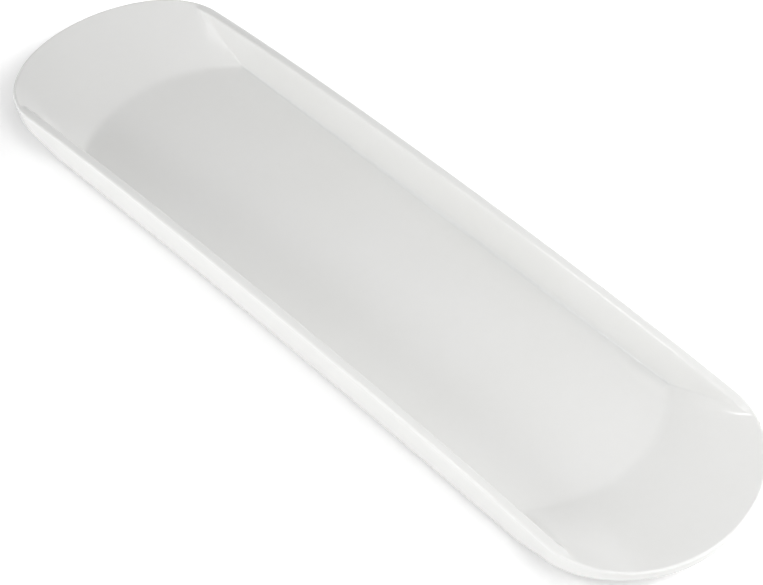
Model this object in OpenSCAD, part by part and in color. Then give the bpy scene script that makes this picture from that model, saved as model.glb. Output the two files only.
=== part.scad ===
// Asparagus plate: a long, narrow porcelain plate made in one piece.
// Two steep side walls stand along a flat floor, and a shallow sloping lip closes each end.
// X runs along the plate, Y across it, and Z = 0 is the table. The origin is under the middle.
// The shell is swept once round the plate: at each station on the rim a profile runs from the
// floor up the inner face, over the rim's top, down the outer face to its lower edge, and from
// there in to the flat underside.

/* [Plate] */
// Length over both rounded ends
plate_len = 400; // [330:1:480]
// Width over the rim
plate_w = 107.8; // [90:0.1:140]
// Length of each rounded end, from where the straight side stops to the tip
end_len = 42.5; // [30:0.5:60]

/* [Rim] */
// Height of the rim above the table at mid-length
rim_mid_h = 23.6; // [20:0.1:34]
// Height of the rim above the table at the two tips
rim_end_h = 13.7; // [12:0.1:18]
// Thickness across the rim
rim_t = 4.4; // [3.4:0.1:5]
// Radius of both rounded edges of the rim's top
rim_edge_r = 1; // [0.5:0.1:1.2]
// Width left of the rim's flat top round the ends, where it tilts to the lip's slope
rim_top_least = 0.6; // [0.3:0.1:0.8]
// Length of rim past each crease over which the top narrows and tilts
rim_top_fade = 6; // [4:0.5:12]

/* [Inside] */
// Height of the floor's top face above the table
floor_top = 5; // [4.6:0.1:7]
// How far each side wall runs inwards from the rim to the floor
wall_run = 2.6; // [2:0.1:6]
// Length of each end lip, from the tip of the plate to the floor
lip_len = 50.6; // [42:0.1:65]
// How far the floor's round ends bulge past its corners
floor_bulge = 18.4; // [10:0.1:28]
// Radius of the floor's four corners
floor_corner_r = 2.5; // [2.2:0.1:6]
// How far the soft bend along each wall's foot reaches to each side of it
wall_bend = 1.2; // [0.5:0.1:2]
// How far the softer bend at the floor's round ends reaches
end_bend = 2.4; // [1:0.1:4]

/* [Outside] */
// How far each side wall runs inwards from the rim to its lower edge
outer_run = 3.1; // [2:0.1:5]
// How much further it runs inwards at mid-length
waist = 1.2; // [0:0.1:1.5]
// Distance from the plate's tip back to where the outer face starts to lose height
outer_fall_from = 58; // [50:0.5:70]
// Distance from the tip back to where only the rim's thickness is left of it
outer_fall_to = 12; // [6:0.5:24]
// How far the round lower edge of the outer face reaches to each side of it
lower_edge = 1.2; // [0.4:0.1:1.7]
// How far inside that lower edge the outline of the flat underside runs
base_ledge = 2; // [1.9:0.1:3.5]
// How far the underside's round ends lie outside those of the floor
base_out = 4; // [3:0.1:6]
// Radius of the underside's four corners
base_corner_r = 7; // [4:0.1:10]
// Length of rim that faces one of those corners
base_corner_len = 8; // [5:0.5:9]

/* [Creases] */
// Distance from the plate's tip back to where the inner crease of a corner reaches the rim
crease_back = 37; // [34:0.5:40]
// Length of rim over which a crease fades
crease_fade = 3; // [2:0.5:6]

/* [Foot] */
// Height of the unglazed foot ring, which is also the height of the underside
foot_h = 1.8; // [1:0.1:2.6]
// Width of the foot ring's flat face
foot_w = 3; // [2:0.1:6]
// Distance from the side walls' lower edge at mid-length in to the foot ring
foot_inset = 5.5; // [4.2:0.1:12]
// How far the foot ring's ends stay inside the underside's round ends
foot_end_gap = 9; // [6:0.5:30]

/* [Hidden] */
$fn = 96;
glaze_white = [0.93, 0.93, 0.915];

// Share of the rim's fall from mid-length to tip that follows a parabola, the rest being steeper
rim_parabola_share = 0.63;
// Power by which a round end is shared out along the rim: below 1 the lip fans out from its crease
arc_pace_share = 0.55;
// Share of each round end of the floor over which its bend grows to the full reach
end_bend_share = 0.5;
// Depth to which the foot ring is sunk into the shell, so that they are one piece
foot_root = 1;
// Stations on a quarter of the rim: along the side, on to the crease, in it, past it, round the tip
side_steps = 14;
before_steps = 5;
fade_steps = 4;
after_steps = 8;
tip_steps = 9;
// Points of a profile: in each soft bend, in the lower edge and in each round of the rim
bend_steps = 4;
edge_steps = 3;
round_steps = 4;

half_len = plate_len / 2;
half_w = plate_w / 2;
side_len = half_len - end_len;
rim_fall = rim_mid_h - rim_end_h;

// The floor and the underside are outlines of one kind: straight sides, round corners and an arc
// at each end. An outline is [half width, waist, arc centre, arc radius, corner radius, height].
floor_half_w = half_w - rim_t - wall_run;
floor_half_len = half_len - lip_len;
floor_arc_r = (pow(floor_half_w, 2) + pow(floor_bulge, 2)) / (2 * floor_bulge);
arc_centre = floor_half_len - floor_arc_r;
base_half_w = half_w - outer_run - base_ledge;
base_arc_r = floor_arc_r + base_out;
floor_edge = [floor_half_w, 0, arc_centre, floor_arc_r, floor_corner_r, floor_top];
base_edge = [base_half_w, waist, arc_centre, base_arc_r, base_corner_r, foot_h];

// Distance along the rim is measured from mid-length. It is exact on the straight side, and round
// the elliptic end it stands for an angle that turns at a steady rate.
rim_end_s = side_len + end_len * PI / 2;
function rim_angle(s) = s < side_len ? 90 : 90 - (s - side_len) / end_len * 180 / PI;
function rim_s_at(x) = x < side_len ? x : side_len + end_len * asin((x - side_len) / end_len) * PI / 180;
function rim_xy(s) =
    [s < side_len ? s : side_len + end_len * cos(rim_angle(s)), half_w * sin(rim_angle(s))];
function rim_normal(s) = unit([cos(rim_angle(s)) / end_len, sin(rim_angle(s)) / half_w]);
function rim_z(x) =
    let (q = pow(x / half_len, 2))
    rim_mid_h - rim_fall * (rim_parabola_share * q + (1 - rim_parabola_share) * q * q);

// Where the creases, the fall of the outer face and the underside's corners start and stop
inner_from = rim_s_at(half_len - crease_back) - crease_fade / 2;
inner_to = inner_from + crease_fade;
fall_from_x = half_len - outer_fall_from;
fall_to_x = half_len - outer_fall_to;
fall_from = rim_s_at(fall_from_x);
fall_to = rim_s_at(fall_to_x);
base_to = fall_from + base_corner_len;

function unit(v) = v / norm(v);
function mix(a, b, share) = a + (b - a) * share;
function between(share) = min(1, max(0, share));
function smooth(share) = let (t = between(share)) t * t * (3 - 2 * t);
// Where a station lies on an outline: 0 to 1 on its side, 1 to 2 in its corner, 2 to 3 on its arc
function outline_place(s, from, to) =
    s < from ? s / from
    : s < to ? 1 + (s - from) / (to - from)
    : 2 + pow((s - to) / (rim_end_s - to), arc_pace_share);
function corner_x(line) = line[2] + sqrt(pow(line[3] - line[4], 2) - pow(line[0] - line[4], 2));
function corner_angle(line) = atan2(line[0] - line[4], corner_x(line) - line[2]);
function outline_turn(line, place) =
    place < 1 ? 90
    : place < 2 ? mix(90, corner_angle(line), place - 1)
    : mix(corner_angle(line), 0, place - 2);
function outline_xy(line, place) =
    let (a = outline_turn(line, place))
    place < 1 ? [place * corner_x(line), line[0] - line[1] * (1 - place * place)]
    : place < 2 ? [corner_x(line), line[0] - line[4]] + line[4] * [cos(a), sin(a)]
    : [line[2], 0] + line[3] * [cos(a), sin(a)];
function outline_point(line, place) = concat(outline_xy(line, place), line[5]);
function outline_normal(line, place) =
    let (a = outline_turn(line, place)) [cos(a), sin(a), 0];

// The lower edge of the outer face, which is nearly full height along the side and then falls away
function lower_point(s) =
    let (
        xy = rim_xy(s),
        z = rim_z(xy[0]),
        fall = between((xy[0] - fall_from_x) / (fall_to_x - fall_from_x)),
        along = min(1, xy[0] / fall_from_x),
        run = mix(outer_run + waist * (1 - along * along), 0, fall)
    )
    concat(xy - run * rim_normal(s), z - mix(z - foot_h, rim_t, fall));

// The rim's top is flat between two rounds. Past the crease it narrows and tilts with the lip.
function top_share(s) = smooth((s - inner_to) / rim_top_fade);
function top_width(s) = mix(rim_t - 2 * rim_edge_r, rim_top_least, top_share(s));
function outer_centre(s) =
    concat(rim_xy(s) - rim_edge_r * rim_normal(s), rim_z(rim_xy(s)[0]) - rim_edge_r);
// A point so far from a centre, at an angle above the outward direction
function round_point(s, centre, radius, angle) =
    centre + radius * concat(cos(angle) * rim_normal(s), sin(angle));
// The slope, seen along the rim, of the line from a point that touches a round above or below
function touch_slope(s, centre, p, side) =
    let (c = centre - p, out = [c[0], c[1]] * rim_normal(s))
    atan2(c[2], out) + side * asin(rim_edge_r / norm([out, c[2]]));
// A soft bend at a corner point, from one leg to the other
function bend(a, corner, b, steps) =
    [for (i = [0:steps]) let (t = i / steps) mix(mix(a, corner, t), mix(corner, b, t), t)];

function profile(s) =
    let (
        in_place = outline_place(s, inner_from, inner_to),
        inner = outline_point(floor_edge, in_place),
        base = outline_point(base_edge, outline_place(s, fall_from, base_to)),
        lower = lower_point(s),
        c_out = outer_centre(s),
        tilt = top_share(s) * touch_slope(s, c_out, inner, 1),
        c_in = round_point(s, c_out, -top_width(s), tilt),
        in_angle = touch_slope(s, c_in, inner, 1) + 90,
        out_angle = touch_slope(s, c_out, lower, -1) - 90,
        in_touch = round_point(s, c_in, rim_edge_r, in_angle),
        out_touch = round_point(s, c_out, rim_edge_r, out_angle),
        reach = mix(wall_bend, end_bend, smooth((in_place - 2) / end_bend_share))
    )
    concat(
        bend(inner - reach * outline_normal(floor_edge, in_place), inner,
            inner + reach * unit(in_touch - inner), bend_steps),
        [for (i = [0:round_steps])
            round_point(s, c_in, rim_edge_r, mix(in_angle, 90 + tilt, i / round_steps))],
        [for (i = [0:round_steps])
            round_point(s, c_out, rim_edge_r, mix(90 + tilt, out_angle, i / round_steps))],
        bend(lower + lower_edge * unit(out_touch - lower), lower,
            lower + lower_edge * unit(base - lower), edge_steps),
        [base]
    );

function steps_between(a, b, n) = [for (i = [0:n - 1]) mix(a, b, i / n)];
stations = concat(
    steps_between(0, fall_from, side_steps),
    steps_between(fall_from, inner_from, before_steps),
    steps_between(inner_from, inner_to, fade_steps),
    steps_between(inner_to, fall_to, after_steps),
    steps_between(fall_to, rim_end_s, tip_steps),
    [rim_end_s]
);
quarter = [for (s = stations) profile(s)];
last = len(quarter) - 1;
function flipped(points, x, y) = [for (p = points) [p[0] * x, p[1] * y, p[2]]];
rings = concat(
    [for (i = [0:last]) quarter[i]],
    [for (i = [last - 1:-1:0]) flipped(quarter[i], 1, -1)],
    [for (i = [1:last]) flipped(quarter[i], -1, -1)],
    [for (i = [last - 1:-1:1]) flipped(quarter[i], -1, 1)]
);

module shell() {
    function corner(k) = k % len(rings) * len(rings[0]);
    function strip(i) = [
        for (turn = [0, 2 * last], three = [
            [corner(turn + i), corner(turn + i + 1), corner(turn + 2 * last - i)],
            [corner(turn + i + 1), corner(turn + 2 * last - i - 1), corner(turn + 2 * last - i)]
        ]) if (three[0] != three[1]) three
    ];
    count = len(rings);
    size = len(rings[0]);
    skin = [for (k = [0:count - 1], j = [0:size - 2])
        let (a = k * size + j, b = (k + 1) % count * size + j)
        each [[a, a + 1, b + 1], [a, b + 1, b]]];
    // The floor and the underside are closed by strips across the plate, station by station.
    floor_faces = [for (i = [0:last - 1]) each strip(i)];
    under_faces = [for (face = floor_faces) [for (j = [len(face) - 1:-1:0]) face[j] + size - 1]];
    polyhedron(points = [for (ring = rings) each ring], faces = concat(skin, floor_faces, under_faces));
}

// A long flat disc with half-round ends
module long_disc(half_length, radius, height) {
    linear_extrude(height) {
        square([2 * (half_length - radius), 2 * radius], center = true);
        for (side = [-1, 1]) {
            translate([side * (half_length - radius), 0]) circle(radius);
        }
    }
}

module foot_ring() {
    outer_r = half_w - outer_run - waist - foot_inset;
    outer_half_len = arc_centre + base_arc_r - foot_end_gap;
    difference() {
        long_disc(outer_half_len, outer_r, foot_h + foot_root);
        translate([0, 0, -foot_root])
            long_disc(outer_half_len - foot_w, outer_r - foot_w, foot_h + 3 * foot_root);
    }
}

module plate() {
    color(glaze_white) {
        shell();
        foot_ring();
    }
}

plate();
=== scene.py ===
import math
import bmesh
import bpy
import numpy as np
from mathutils import Matrix, Vector


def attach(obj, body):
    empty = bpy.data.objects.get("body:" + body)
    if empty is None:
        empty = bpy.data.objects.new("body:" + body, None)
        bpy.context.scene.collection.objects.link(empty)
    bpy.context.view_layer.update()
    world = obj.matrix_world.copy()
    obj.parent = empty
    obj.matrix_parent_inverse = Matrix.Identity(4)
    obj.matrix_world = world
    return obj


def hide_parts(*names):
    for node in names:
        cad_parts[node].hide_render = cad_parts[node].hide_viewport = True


# A long white porcelain asparagus plate, seen from above one end on a white table.
# The shape repeats the CAD plate's own formulas in millimetres, with many more points.
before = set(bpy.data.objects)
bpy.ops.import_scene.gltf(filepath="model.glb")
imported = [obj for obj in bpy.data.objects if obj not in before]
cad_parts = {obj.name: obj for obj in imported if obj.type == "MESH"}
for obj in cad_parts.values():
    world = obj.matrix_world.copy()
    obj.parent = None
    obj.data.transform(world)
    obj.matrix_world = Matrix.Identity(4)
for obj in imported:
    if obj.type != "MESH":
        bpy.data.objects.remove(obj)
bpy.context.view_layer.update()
scene = bpy.context.scene
toMetres = 0.001


# camera

cameraSetup = {
    "azimuth": 46.98,       # degrees round the plate, 0 looks along +Y
    "elevation": 47.20,     # degrees above the table
    "distance": 900.24,     # millimetres
    "right": 8.66,          # how far the camera stands off the line to the plate's middle
    "up": -6.76,            # the same upwards in the picture
    "lens": 100.85,         # focal length and sensor width in millimetres
    "sensor": 36.0,
    "clip": (0.01, 50),     # metres
}


def makeCamera(setup):
    a, e = math.radians(setup["azimuth"]), math.radians(setup["elevation"])
    back = Vector((math.sin(a) * math.cos(e), -math.cos(a) * math.cos(e), math.sin(e)))
    right = Vector((math.cos(a), math.sin(a), 0))
    up = back.cross(right)
    place = back * setup["distance"] + right * setup["right"] + up * setup["up"]
    data = bpy.data.cameras.new("photoCamera")
    data.lens, data.sensor_width = setup["lens"], setup["sensor"]
    data.clip_start, data.clip_end = setup["clip"]
    camera = bpy.data.objects.new("photoCamera", data)
    turn = Matrix((right, up, back)).transposed().to_4x4()
    camera.matrix_world = Matrix.Translation(place * toMetres) @ turn
    scene.collection.objects.link(camera)
    scene.camera = camera


makeCamera(cameraSetup)
print("camera set")


# plate shape

plateShape = {                  # all lengths in millimetres
    "length": 400.0,            # over both rounded ends
    "width": 107.8,             # over the rim
    "endLength": 42.5,          # of each rounded end
    "rimMiddleHeight": 23.6,
    "rimEndHeight": 13.7,
    "rimParabolaShare": 0.63,   # of the rim's fall, and the rest falls mostly near the tips
    "rimThickness": 4.4,
    "rimEdgeRadius": 1.0,       # of both rounded edges of the rim's flat top
    "topLeast": 0.6,            # what is left of that flat top round the ends
    "topFade": 6.0,             # length of rim over which the top narrows and tilts to the lip's slope
    "floorTop": 5.0,            # of the floor's top face above the table
    "wallRun": 2.6,             # how far a side wall runs inwards from rim to floor
    "lipLength": 50.6,          # from the tip to the floor
    "floorBulge": 18.4,         # how far the floor's round ends pass its corners
    "floorCornerRadius": 2.5,
    "wallBend": 1.2,            # reach of the soft bend on each side of the walls' foot
    "endBend": 2.4,             # the same at the floor's round ends
    "endBendBy": 0.5,           # share of a floor arc over which the one becomes the other
    "arcPace": 0.55,            # below 1 the lip's lines fan out faster past a crease
    "creaseBack": 37.0,         # from the tip back to where an inner crease meets the rim
    "creaseFade": 3.0,          # length of rim that faces the floor's corner there
    "outerRun": 3.1,            # how far a side wall runs inwards from rim to underside
    "waist": 1.2,               # how much further it runs inwards at mid-length
    "outerFrom": 58.0,          # from the tip back to where the outer face starts to lose height
    "outerTo": 12.0,            # and to where only the rim's thickness is left of it
    "lowerEdge": 1.2,           # reach of the soft bend along the outer face's lower edge
    "baseLedge": 2.0,           # how far inside that edge the underside's outline runs
    "baseOut": 4.0,             # how far its round ends lie outside those of the floor
    "baseCornerRadius": 7.0,
    "baseCornerLength": 8.0,    # of rim that faces one of its corners
    "baseBend": 2.5,            # reach of the bend on each side of that outline
    "baseBendRoom": 4.0,        # reaches between the two edges that leave room for the whole bend
}
footShape = {
    "height": 1.8,              # of the underside above the table
    "width": 3.0,
    "inset": 5.5,               # from the underside's narrowest edge
    "endGap": 9.0,              # from the ring's round ends out to those of the underside
    "fillet": 0.9,              # where the ring grows out of the underside
    "glazeLine": 0.45,          # height at which the glaze stops above the ground face
    "glazeEdge": 0.2,           # roundness of the glaze where it stops
    "bareStep": 0.14,           # how far the bare clay stands back behind the glaze
    "bareEdge": 0.3,            # roundness of the ground face's edges
    "root": 1.0,                # how far the bare ring runs up inside the glazed one
}
meshSteps = {
    "side": 28, "fade": 12, "between": 12, "end": 24,      # stations on a quarter of the rim
    "floor": 9, "bend": 8, "wall": 6, "edge": 9, "top": 3,  # points of a profile
    "lowerEdge": 6, "slope": 5, "under": 3, "footRound": 4,
    "bareRound": 5, "bareFlat": 6, "bareAlong": 60,         # the bare face of the foot ring
}
weldReach = 2e-6                # metres within which two mirrored points become one


def mix(a, b, share):
    return a + (b - a) * share


def unit(v):
    return v / np.linalg.norm(v)


def smooth(share):
    share = min(1, max(0, share))
    return share * share * (3 - 2 * share)


def degreesOf(y, x):
    return math.degrees(math.atan2(y, x))


class PlateLines:
    # the lines that the plate is drawn from, on one quarter, by station s along the rim from mid-length
    def __init__(self, p, f):                    # p is the plate's shape and f its foot's
        self.p, self.f = p, f
        self.halfLength, self.halfWidth = p["length"] / 2, p["width"] / 2
        self.sideLength = self.halfLength - p["endLength"]
        floorHalf = self.halfWidth - p["rimThickness"] - p["wallRun"]
        floorRound = (floorHalf ** 2 + p["floorBulge"] ** 2) / (2 * p["floorBulge"])
        self.arcCentre = self.halfLength - p["lipLength"] - floorRound
        self.edgeHalf = self.halfWidth - p["outerRun"]
        self.baseRound = floorRound + p["baseOut"]
        # an outline is half width, waist, arc centre, arc radius, corner radius, height
        self.floor = (floorHalf, 0, self.arcCentre, floorRound, p["floorCornerRadius"], p["floorTop"])
        self.base = (self.edgeHalf - p["baseLedge"], p["waist"], self.arcCentre, self.baseRound,
                     p["baseCornerRadius"], f["height"])
        self.rimEnd = self.sideLength + p["endLength"] * math.pi / 2
        self.innerFrom = self.rimStation(self.halfLength - p["creaseBack"]) - p["creaseFade"] / 2
        self.innerTo = self.innerFrom + p["creaseFade"]
        self.outerFrom = self.rimStation(self.halfLength - p["outerFrom"])
        self.baseTo = self.outerFrom + p["baseCornerLength"]
        self.outerTo = self.rimStation(self.halfLength - p["outerTo"])

    def rimStation(self, x):
        over = (x - self.sideLength) / self.p["endLength"]
        return x if over < 0 else self.sideLength + self.p["endLength"] * math.asin(over)

    def rimAngle(self, s):
        return math.pi / 2 - max(0, s - self.sideLength) / self.p["endLength"]

    def rimFrame(self, s):                       # a point on the rim's outer edge, and outwards from it
        a, end = self.rimAngle(s), self.p["endLength"]
        x = s if s < self.sideLength else self.sideLength + end * math.cos(a)
        q = (x / self.halfLength) ** 2
        share = self.p["rimParabolaShare"]
        fall = self.p["rimMiddleHeight"] - self.p["rimEndHeight"]
        z = self.p["rimMiddleHeight"] - fall * (share * q + (1 - share) * q * q)
        out = unit(np.array([math.cos(a) / end, math.sin(a) / self.halfWidth, 0]))
        return np.array([x, self.halfWidth * math.sin(a), z]), out

    def topOf(self, s):                          # width of the rim's flat top, and the share of its tilt
        p = self.p
        share = smooth((s - self.innerTo) / p["topFade"])
        return mix(p["rimThickness"] - 2 * p["rimEdgeRadius"], p["topLeast"], share), share

    def lowerLine(self, s):                      # where the outer face ends below
        p = self.p
        rim, out = self.rimFrame(s)
        full = rim[2] - self.f["height"]
        over = (rim[0] - self.halfLength + p["outerFrom"]) / (p["outerFrom"] - p["outerTo"])
        over = min(1, max(0, over))
        tall = mix(full, p["rimThickness"], over)
        along = min(1, rim[0] / (self.halfLength - p["outerFrom"]))
        run = mix(p["outerRun"] + p["waist"] * (1 - along * along), 0, over)
        return rim - run * out - np.array([0, 0, tall])

    def place(self, s, start, stop):             # up to 1 on the side, 2 in the corner, 3 on the arc
        if s < start:
            return s / start
        if s < stop:
            return 1 + (s - start) / (stop - start)
        return 2 + ((s - stop) / (self.rimEnd - stop)) ** self.p["arcPace"]

    def outline(self, line, place):
        half, waist, centre, radius, corner, height = line
        cornerX = centre + math.sqrt((radius - corner) ** 2 - (half - corner) ** 2)
        cornerTurn = math.atan2(half - corner, cornerX - centre)
        if place < 1:
            turn = math.pi / 2
            xy = (place * cornerX, half - waist * (1 - place * place))
        elif place < 2:
            turn = mix(math.pi / 2, cornerTurn, place - 1)
            xy = (cornerX + corner * math.cos(turn), half - corner + corner * math.sin(turn))
        else:
            turn = mix(cornerTurn, 0, place - 2)
            xy = (centre + radius * math.cos(turn), radius * math.sin(turn))
        return np.array([*xy, height]), np.array([math.cos(turn), math.sin(turn), 0])

    def basePoint(self, s):                      # on the underside's outline, and outwards from it
        return self.outline(self.base, self.place(s, self.outerFrom, self.baseTo))

    def stadium(self, share, inwards):           # the foot ring's line, by share of its quarter's length
        radius = self.edgeHalf - self.p["waist"] - self.f["inset"]
        sideRun = self.arcCentre + self.baseRound - self.f["endGap"] - radius
        run = share * (sideRun + radius * math.pi / 2)
        turn = math.pi / 2 - max(0, run - sideRun) / radius
        x = min(run, sideRun) + (radius - inwards) * math.cos(turn)
        return np.array([x, (radius - inwards) * math.sin(turn), 0])


def softBend(a, corner, b, steps):
    ts = [i / steps for i in range(steps + 1)]
    return [mix(mix(a, corner, t), mix(corner, b, t), t) for t in ts]


def straight(a, b, steps):                       # the points between two points, without them
    return [mix(a, b, i / steps) for i in range(1, steps)]


def touchAngle(centre, out, point, radius, side):
    # slope of the line from a point that touches an edge's round, on its inner side (1) or outer side (-1)
    across, rise = np.dot(centre - point, out), centre[2] - point[2]
    return degreesOf(rise, across) + side * math.degrees(math.asin(radius / math.hypot(across, rise)))


def roundPoints(centre, out, radius, start, stop, steps):
    angles = [math.radians(mix(start, stop, i / steps)) for i in range(steps + 1)]
    return [centre + radius * (math.cos(a) * out + math.sin(a) * np.array([0, 0, 1])) for a in angles]


def plateColumn(lines, s, baseShare):
    # one profile from the floor's middle over the rim to the underside's middle, in named parts
    p, f, n = lines.p, lines.f, meshSteps
    rim, out = lines.rimFrame(s)
    inPlace = lines.place(s, lines.innerFrom, lines.innerTo)
    inner, innerOut = lines.outline(lines.floor, inPlace)
    base, baseOut = lines.basePoint(s)
    lower = lines.lowerLine(s)
    r, up = p["rimEdgeRadius"], np.array([0, 0, 1])
    outerCentre = rim - r * out - r * up
    width, tilted = lines.topOf(s)
    tilt = tilted * touchAngle(outerCentre, out, inner, r, 1)
    slope = math.radians(tilt)
    innerCentre = outerCentre - width * (math.cos(slope) * out + math.sin(slope) * up)
    inAngle = touchAngle(innerCentre, out, inner, r, 1) + 90
    outAngle = touchAngle(outerCentre, out, lower, r, -1) - 90
    inEdge = roundPoints(innerCentre, out, r, inAngle, 90 + tilt, n["edge"])
    outEdge = roundPoints(outerCentre, out, r, 90 + tilt, outAngle, n["edge"])
    reach = mix(p["wallBend"], p["endBend"], smooth((inPlace - 2) / p["endBendBy"]))
    bendIn = softBend(inner - reach * innerOut, inner, inner + reach * unit(inEdge[0] - inner), n["bend"])
    lowerBend = softBend(lower + p["lowerEdge"] * unit(outEdge[-1] - lower), lower,
                         lower + p["lowerEdge"] * unit(base - lower), n["lowerEdge"])
    reach = p["baseBend"] * smooth(np.linalg.norm(base - lower) / p["baseBend"] / p["baseBendRoom"])
    bendOut = softBend(base + reach * unit(lower - base), base, base - reach * baseOut, n["lowerEdge"])
    floorMiddle = np.array([bendIn[0][0], 0, p["floorTop"]])
    parts = [
        ("floor", [floorMiddle] + straight(floorMiddle, bendIn[0], n["floor"])),
        ("bend", bendIn),
        ("wall", straight(bendIn[-1], inEdge[0], n["wall"])),
        ("edge", inEdge),
        ("top", straight(inEdge[-1], outEdge[0], n["top"])),
        ("edge", outEdge),
        ("outside", straight(outEdge[-1], lowerBend[0], n["wall"])),
        ("lowerEdge", lowerBend),
        ("slope", straight(lowerBend[-1], bendOut[0], n["slope"])),
        ("base", bendOut),
    ]
    foot = footProfile(f, n["footRound"])
    ring = [lines.stadium(baseShare, d) + np.array([0, 0, z]) for d, z in foot]
    parts.append(("under", straight(bendOut[-1], ring[0], n["under"])))
    parts.append(("foot", ring))
    underMiddle = np.array([ring[-1][0], 0, f["height"]])
    parts.append(("under", straight(ring[-1], underMiddle, n["floor"]) + [underMiddle]))
    return parts


def footProfile(f, steps):
    # the glazed part of the ring, as distance inwards from its outer line and height
    r, e, low = f["fillet"], f["glazeEdge"], f["glazeLine"]
    arc = [math.radians(90 * i / steps) for i in range(steps + 1)]
    side = [(-r + r * math.sin(a), f["height"] - r + r * math.cos(a)) for a in arc]
    side += [(e - e * math.cos(a), low + e - e * math.sin(a)) for a in arc]
    return side + [(f["width"] - d, z) for d, z in reversed(side)]


def weldQuarters(name, columns, masks):
    # mirrors a grid of points to all four quarters and welds the seams
    points, faces, marks = [], [], {key: [] for key in masks}
    count, size = columns.shape[:2]
    for sx, sy in ((1, 1), (1, -1), (-1, -1), (-1, 1)):
        start = len(points)
        flat = (columns * np.array([sx, sy, 1])).reshape(-1, 3)
        points += [tuple(v) for v in flat * toMetres]
        for key, value in masks.items():
            marks[key] += list(value.reshape(-1))
        for i in range(count - 1):
            for j in range(size - 1):
                a = start + i * size + j
                quad = (a, a + size, a + size + 1, a + 1)
                faces.append(quad if sx * sy > 0 else quad[::-1])
    mesh = bpy.data.meshes.new(name)
    mesh.from_pydata(points, [], faces)
    for key, value in marks.items():
        mesh.attributes.new(key, "FLOAT", "POINT").data.foreach_set("value", value)
    bm = bmesh.new()
    bm.from_mesh(mesh)
    bmesh.ops.remove_doubles(bm, verts=bm.verts, dist=weldReach)
    bmesh.ops.recalc_face_normals(bm, faces=bm.faces)
    bm.to_mesh(mesh)
    bm.free()
    mesh.polygons.foreach_set("use_smooth", [True] * len(mesh.polygons))
    thing = bpy.data.objects.new(name, mesh)
    scene.collection.objects.link(thing)
    return thing


def stationsOf(lines):
    n = meshSteps
    marks = [(0, lines.outerFrom, n["side"]), (lines.outerFrom, lines.innerFrom, n["between"]),
             (lines.innerFrom, lines.innerTo, n["fade"]), (lines.innerTo, lines.outerTo, n["fade"] * 2),
             (lines.outerTo, lines.rimEnd, n["end"])]
    return [mix(a, b, i / k) for a, b, k in marks for i in range(k)] + [lines.rimEnd]


glazeAndShadeSpread = {                 # how the glaze lies and where shade is painted into its colour, from 0 to 1
    "bendSides": 0.4,           # pooled glaze and painted shade at both sides of the walls' foot, and 1 in its middle
    "floorEdge": 0.12,          # pooled glaze and painted shade on the floor beside it
    "foot": 0.35,               # pooled glaze and painted shade on the foot ring
    "endLoss": 0.8,             # how much less of the thin glaze and painted shade lies on the rim round the ends
}


def makePlate(lines, spread):
    stations = stationsOf(lines)
    outline = np.array([lines.basePoint(s)[0] for s in stations])
    runs = np.concatenate([[0], np.cumsum(np.linalg.norm(np.diff(outline, axis=0), axis=1))])
    shares = runs / runs[-1]
    grid, pooledAndShaded, thinnedAndShaded = [], [], []
    for s, share in zip(stations, shares):
        parts = plateColumn(lines, s, share)
        grid.append([v for _, vs in parts for v in vs])
        poolAndShade, thinAndShaded = [], []
        wallShare = 1 - smooth((s - lines.innerFrom) / lines.p["creaseFade"])
        thinAndShadeShare = 1 - spread["endLoss"] * lines.topOf(s)[1]
        for kind, vs in parts:
            k = len(vs)
            hump = [math.sin(math.pi * (i + 0.5) / k) for i in range(k)]
            # the walls' foot, the floor's edge beside it and the foot ring get pooled glaze with painted
            # shade
            gatheredAndShaded = {
                "bend": [mix(spread["bendSides"], 1, h) for h in hump],
                "floor": [0] * (k - 1) + [spread["floorEdge"]],
            }.get(kind, [0] * k)
            poolAndShade += [spread["foot"]] * k if kind == "foot" else [g * wallShare for g in gatheredAndShaded]
            # the rim's rounded edges and flat top get thin glaze with a little painted shade
            drawn = {"edge": hump, "top": [1] * k}.get(kind, [0] * k)
            thinAndShaded += [d * thinAndShadeShare for d in drawn]
        pooledAndShaded.append(poolAndShade)
        thinnedAndShaded.append(thinAndShaded)
    masks = {"pooledAndShaded": np.array(pooledAndShaded), "thinAndShaded": np.array(thinnedAndShaded)}
    return weldQuarters("plate_glazed", np.array(grid), masks)


def makeBareRing(lines):
    f, n = lines.f, meshSteps
    step, e, wide = f["bareStep"], f["bareEdge"], f["width"]
    arc = [math.radians(90 * i / n["bareRound"]) for i in range(n["bareRound"] + 1)]
    side = [(step, f["root"])] + [(step + e - e * math.cos(a), e - e * math.sin(a)) for a in arc]
    flat = straight(step + e, wide - step - e, n["bareFlat"])
    profile = side + [(d, 0) for d in flat]
    profile += [(wide - d, z) for d, z in reversed(side)]
    profile.append(profile[0])
    shares = [i / n["bareAlong"] for i in range(n["bareAlong"] + 1)]
    grid = [[lines.stadium(share, d) + np.array([0, 0, z]) for d, z in profile] for share in shares]
    return weldQuarters("foot_bare_ring", np.array(grid), {})


plateLines = PlateLines(plateShape, footShape)
plate = makePlate(plateLines, glazeAndShadeSpread)
bareRing = makeBareRing(plateLines)
print("plate made,", len(plate.data.polygons), "faces")


# materials

def newMaterial(name):
    material = bpy.data.materials.new(name)
    material.use_nodes = True
    nodes = material.node_tree.nodes
    return material, nodes, material.node_tree.links, nodes["Principled BSDF"]


def addNode(nodes, kind, **values):
    node = nodes.new(kind)
    for key, value in values.items():
        if key in node.inputs:
            node.inputs[key].default_value = value
        else:
            setattr(node, key, value)
    return node


driftSetup = {                  # the inputs' own values hold where a material sets none
    "inputs": {"Broad Size": 40, "Fine Size": 400, "Fine Share": 0.3},
    "broadDetail": 2.0, "fineDetail": 3.0,
    "low": 0.3, "high": 0.7,    # most of the mask lies between these
}


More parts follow.
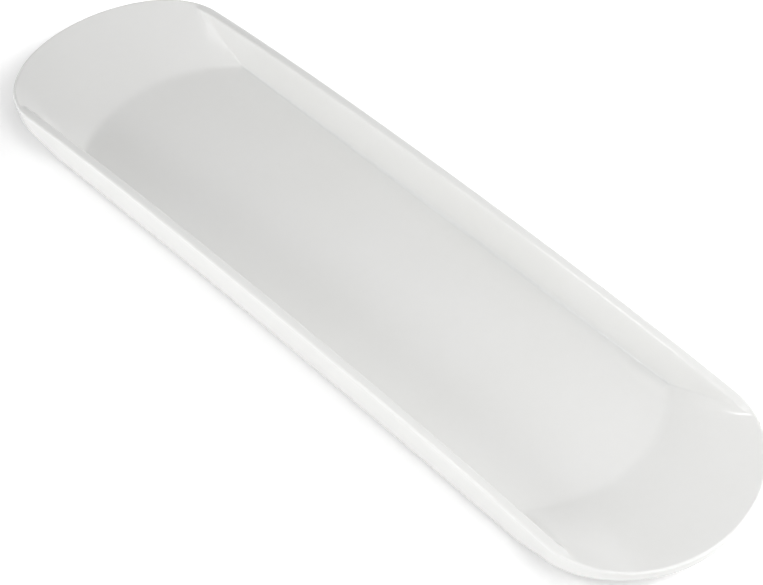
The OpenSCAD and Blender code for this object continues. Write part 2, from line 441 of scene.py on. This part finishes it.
def makeDriftGroup(setup):
    # slow and fine variation in one mask, used by the glaze, the bare clay and the table
    group = bpy.data.node_groups.new("surfaceDrift", "ShaderNodeTree")
    for name, usual in setup["inputs"].items():
        socket = group.interface.new_socket(name, in_out="INPUT", socket_type="NodeSocketFloat")
        socket.default_value = usual
    group.interface.new_socket("Mask", in_out="OUTPUT", socket_type="NodeSocketFloat")
    nodes, links = group.nodes, group.links
    inputs, outputs = nodes.new("NodeGroupInput"), nodes.new("NodeGroupOutput")
    where = nodes.new("ShaderNodeTexCoord")
    broad = addNode(nodes, "ShaderNodeTexNoise", Detail=setup["broadDetail"])
    fine = addNode(nodes, "ShaderNodeTexNoise", Detail=setup["fineDetail"])
    blend = addNode(nodes, "ShaderNodeMix", data_type="FLOAT")
    links.new(where.outputs["Object"], broad.inputs["Vector"])
    links.new(where.outputs["Object"], fine.inputs["Vector"])
    links.new(inputs.outputs["Broad Size"], broad.inputs["Scale"])
    links.new(inputs.outputs["Fine Size"], fine.inputs["Scale"])
    links.new(inputs.outputs["Fine Share"], blend.inputs["Factor"])
    links.new(broad.outputs["Fac"], blend.inputs["A"])
    links.new(fine.outputs["Fac"], blend.inputs["B"])
    links.new(blend.outputs["Result"], outputs.inputs["Mask"])
    return group


driftGroup = makeDriftGroup(driftSetup)


def addDrift(nodes, values):                     # values are the broad size, fine size and fine share
    node = nodes.new("ShaderNodeGroup")
    node.node_tree = driftGroup
    for name, value in zip(driftSetup["inputs"], values):
        node.inputs[name].default_value = value
    return node.outputs["Mask"]


def addRamp(nodes, links, mask, low, high, fromLow=driftSetup["low"], fromHigh=driftSetup["high"]):
    # maps a mask to a range of plain numbers
    node = nodes.new("ShaderNodeMapRange")
    node.inputs["From Min"].default_value, node.inputs["From Max"].default_value = fromLow, fromHigh
    node.inputs["To Min"].default_value, node.inputs["To Max"].default_value = low, high
    links.new(mask, node.inputs["Value"])
    return node.outputs["Result"]


def addBlend(nodes, links, under, over, mask):
    # lays one colour over another by a mask, where the lower one is a colour or a node's output
    node = addNode(nodes, "ShaderNodeMix", data_type="RGBA")
    if isinstance(under, bpy.types.NodeSocket):
        links.new(under, node.inputs["A"])
    else:
        node.inputs["A"].default_value = under
    node.inputs["B"].default_value = over
    links.new(mask, node.inputs["Factor"])
    return node.outputs["Result"]


glazeFinish = {                 # each drift is a broad size, a fine size and the fine one's share
    "white": (0.82, 0.82, 0.81, 1),
    "whiteDeep": (0.80, 0.80, 0.785, 1),       # where the glaze lies a little thicker
    "whiteDrift": (18, 240, 0.25),
    "poolAndShade": (0.74, 0.755, 0.75, 1),            # darker, for glaze pooled in the bends and painted shade there and on the foot ring
    "thinEdgeAndShade": (0.81, 0.81, 0.80, 1),         # glaze drawn thin over the rim, and painted shade on the rim's top
    "most": 0.6,                               # the largest share of those two over the white
    "roughLow": 0.05, "roughHigh": 0.11, "roughDrift": (30, 900, 0.35),
    "refraction": 1.5,
    "ripple": 0.00006, "rippleDrift": (55, 160, 0.2),      # metres of waviness
    "peel": 0.000006, "peelDrift": (900, 1600, 0.5),       # metres of orange peel
}


def makeGlaze(look):
    material, nodes, links, shader = newMaterial("white_glaze_porcelain")
    tone = addRamp(nodes, links, addDrift(nodes, look["whiteDrift"]), 0, 1)
    colour = addBlend(nodes, links, look["white"], look["whiteDeep"], tone)
    # lays the pooled glaze with its painted shade, then the thin glaze with painted shade on the rim's top,
    # over the white
    for maskName, over in (("pooledAndShaded", look["poolAndShade"]), ("thinAndShaded", look["thinEdgeAndShade"])):
        mask = addNode(nodes, "ShaderNodeAttribute", attribute_name=maskName)
        share = addRamp(nodes, links, mask.outputs["Fac"], 0, look["most"], 0, 1)
        colour = addBlend(nodes, links, colour, over, share)
    links.new(colour, shader.inputs["Base Color"])
    haze = addDrift(nodes, look["roughDrift"])
    links.new(addRamp(nodes, links, haze, look["roughLow"], look["roughHigh"]), shader.inputs["Roughness"])
    shader.inputs["IOR"].default_value = look["refraction"]
    # long shallow ripples in the glaze, then the fine orange peel on top of them
    low = addNode(nodes, "ShaderNodeBump", Distance=look["ripple"], Strength=1.0)
    high = addNode(nodes, "ShaderNodeBump", Distance=look["peel"], Strength=1.0)
    links.new(addDrift(nodes, look["rippleDrift"]), low.inputs["Height"])
    links.new(addDrift(nodes, look["peelDrift"]), high.inputs["Height"])
    links.new(low.outputs["Normal"], high.inputs["Normal"])
    links.new(high.outputs["Normal"], shader.inputs["Normal"])
    return material


bareFinish = {
    "clay": (0.74, 0.715, 0.67, 1),
    "clayDark": (0.60, 0.575, 0.53, 1),        # grey from standing on shelves
    "darkMost": 0.7,                           # the largest share of that grey
    "drift": (120, 2600, 0.55),
    "roughLow": 0.65, "roughHigh": 0.85,
    "grain": 0.00005, "grainDrift": (1500, 5000, 0.5),     # metres of sandy grain
}


def makeBareClay(look):
    material, nodes, links, shader = newMaterial("bare_fired_clay")
    drift = addDrift(nodes, look["drift"])
    greyed = addRamp(nodes, links, drift, 0, look["darkMost"])
    links.new(addBlend(nodes, links, look["clay"], look["clayDark"], greyed), shader.inputs["Base Color"])
    links.new(addRamp(nodes, links, drift, look["roughLow"], look["roughHigh"]), shader.inputs["Roughness"])
    bump = addNode(nodes, "ShaderNodeBump", Distance=look["grain"], Strength=1.0)
    links.new(addDrift(nodes, look["grainDrift"]), bump.inputs["Height"])
    links.new(bump.outputs["Normal"], shader.inputs["Normal"])
    return material


plate.data.materials.append(makeGlaze(glazeFinish))
bareRing.data.materials.append(makeBareClay(bareFinish))
print("materials made")


# table, world and lamps

stageLook = {
    "tableSize": 8.0,             # metres
    "tableColour": (0.80, 0.80, 0.80, 1),
    "tableColourDeep": (0.788, 0.788, 0.788, 1),
    "tableDrift": (3, 60, 0.3),   # between those two
    "tableRoughness": 0.9,
    "tableLift": 0.29,            # plain white added to the table where it shows as background
    "farLift": 1.0,               # the same far from the plate, where the lamps don't reach
    "liftNear": 0.45, "liftFar": 1.4,          # metres from the plate's middle between the two
    "ambient": 0.0,               # plain light from all round
    "ambientColour": (1.0, 0.995, 0.985, 1),
    "background": 1.0,            # brightness of what is seen past the table's edge
}


def backgroundMask(nodes, links):
    # 1 where the camera, a reflection or glass sees the background, and 0 for light that falls on the plate
    path = nodes.new("ShaderNodeLightPath")
    first = addNode(nodes, "ShaderNodeMath", operation="MAXIMUM")
    second = addNode(nodes, "ShaderNodeMath", operation="MAXIMUM")
    links.new(path.outputs["Is Camera Ray"], first.inputs[0])
    links.new(path.outputs["Is Glossy Ray"], first.inputs[1])
    links.new(first.outputs["Value"], second.inputs[0])
    links.new(path.outputs["Is Transmission Ray"], second.inputs[1])
    return second.outputs["Value"]


def makeTable(look):
    half = look["tableSize"] / 2
    mesh = bpy.data.meshes.new("table")
    corners = [(-half, -half, 0), (half, -half, 0), (half, half, 0), (-half, half, 0)]
    mesh.from_pydata(corners, [], [(0, 1, 2, 3)])
    table = bpy.data.objects.new("table", mesh)
    scene.collection.objects.link(table)
    material, nodes, links, shader = newMaterial("white_table")
    shader.inputs["Roughness"].default_value = look["tableRoughness"]
    shader.inputs["Specular IOR Level"].default_value = 0.0
    tone = addBlend(nodes, links, look["tableColour"], look["tableColourDeep"],
                    addDrift(nodes, look["tableDrift"]))
    links.new(tone, shader.inputs["Base Color"])
    shader.inputs["Emission Color"].default_value = (1, 1, 1, 1)
    lift = addNode(nodes, "ShaderNodeMath", operation="MULTIPLY")
    links.new(backgroundMask(nodes, links), lift.inputs[0])
    where = nodes.new("ShaderNodeTexCoord")
    away = addNode(nodes, "ShaderNodeVectorMath", operation="LENGTH")
    links.new(where.outputs["Object"], away.inputs[0])
    level = addRamp(nodes, links, away.outputs["Value"], look["tableLift"], look["farLift"],
                    look["liftNear"], look["liftFar"])
    links.new(level, lift.inputs[1])
    links.new(lift.outputs["Value"], shader.inputs["Emission Strength"])
    mesh.materials.append(material)
    return table


def makeWorld(look):
    world = bpy.data.worlds.new("studio")
    scene.world = world
    world.use_nodes = True
    nodes, links = world.node_tree.nodes, world.node_tree.links
    shade = nodes["Background"]
    shade.inputs["Color"].default_value = look["ambientColour"]
    seen = backgroundMask(nodes, links)
    level = addRamp(nodes, links, seen, look["ambient"], look["background"], 0, 1)
    links.new(level, shade.inputs["Strength"])


# place, aim and size are in metres, radiance in watts per square metre and steradian, turned in degrees
# mirrored says whether its image shows in the glaze, and scattered whether it lights the surface itself
# a lamp without an aim points at the plate's middle
lampSetup = {
    "overhead": {"place": (0.15, 0, 0.50), "aim": (0.15, 0, 0), "size": (0.35, 0.35), "radiance": 1.86,
                 "mirrored": False},
    "nearRight": {"place": (0.30, 0.35, 0.45), "aim": (0.15, 0, 0), "size": (0.35, 0.35), "radiance": 1.76},
    "overLeft": {"place": (0, -0.50, 1.00), "size": (1.0, 0.6), "radiance": 1.15},
    "nearSide": {"place": (1.40, 0, 0.60), "size": (1.6, 1.0), "radiance": 1.53},
    "leftLow": {"place": (0, -1.256, 0.336), "size": (0.7, 0.7), "radiance": 5.13,
                "mirrored": False},
    "rightLow": {"place": (0.888, 0.888, 0.336), "size": (0.7, 0.7), "radiance": 4.67},
    "rightHigh": {"place": (0.388, 0.388, 1.178), "size": (0.7, 0.7), "radiance": 0.92},
    "backLow": {"place": (-0.888, 0.888, 0.336), "size": (0.7, 0.7), "radiance": 0.61},
    "farLeft": {"place": (-0.35, -0.60, 0.30), "size": (0.6, 0.4), "radiance": 1.46,
                "mirrored": False},
    "rimStrip": {"place": (-0.08, -0.17, 0.50), "aim": (-0.08, -0.17, 0), "size": (0.36, 0.13),
                 "turned": 50, "radiance": 6.0, "scattered": False},
}
tableLampSetup = {                # these light the table alone, and the plate shades it
    "tableLow": {"place": (0.940, 1.628, 0.684), "size": (1.0, 1.0), "radiance": 8.8},
    "tableRight": {"place": (1.083, 1.083, 1.286), "size": (1.0, 1.0), "radiance": 3.9},
    "tableOver": {"place": (0, 0.518, 1.932), "size": (1.0, 1.0), "radiance": 1.8},
    "tableNear": {"place": (1.286, 0, 1.532), "size": (1.0, 1.0), "radiance": 4.3},
    "tableLeft": {"place": (0, -1.286, 1.532), "size": (1.0, 1.0), "radiance": 6.7},
}


def makeLamps(lamps, lit, groupName):
    group = bpy.data.collections.new(groupName)
    for thing in lit:
        group.objects.link(thing)
    for name, lamp in lamps.items():
        data = bpy.data.lights.new(name + "Lamp", "AREA")
        data.shape = "RECTANGLE"
        data.size, data.size_y = lamp["size"]
        data.energy = lamp["radiance"] * math.pi * data.size * data.size_y
        thing = bpy.data.objects.new(name + "Lamp", data)
        place, aim = Vector(lamp["place"]), Vector(lamp.get("aim", (0, 0, 0)))
        turn = (aim - place).to_track_quat("-Z", "Y").to_matrix().to_4x4()
        turned = Matrix.Rotation(math.radians(lamp.get("turned", 0)), 4, "Z")
        thing.matrix_world = Matrix.Translation(place) @ turn @ turned
        scene.collection.objects.link(thing)
        thing.visible_glossy = lamp.get("mirrored", True)
        thing.visible_diffuse = lamp.get("scattered", True)
        thing.light_linking.receiver_collection = group


table = makeTable(stageLook)
makeWorld(stageLook)
makeLamps(lampSetup, (plate, bareRing), "litPlate")
makeLamps(tableLampSetup, (table,), "litTable")
scene.view_settings.view_transform = "Standard"
print("stage and lamps set")


# pieces on the frame

for piece in (plate, bareRing):
    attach(piece, "root")
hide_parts("plate")
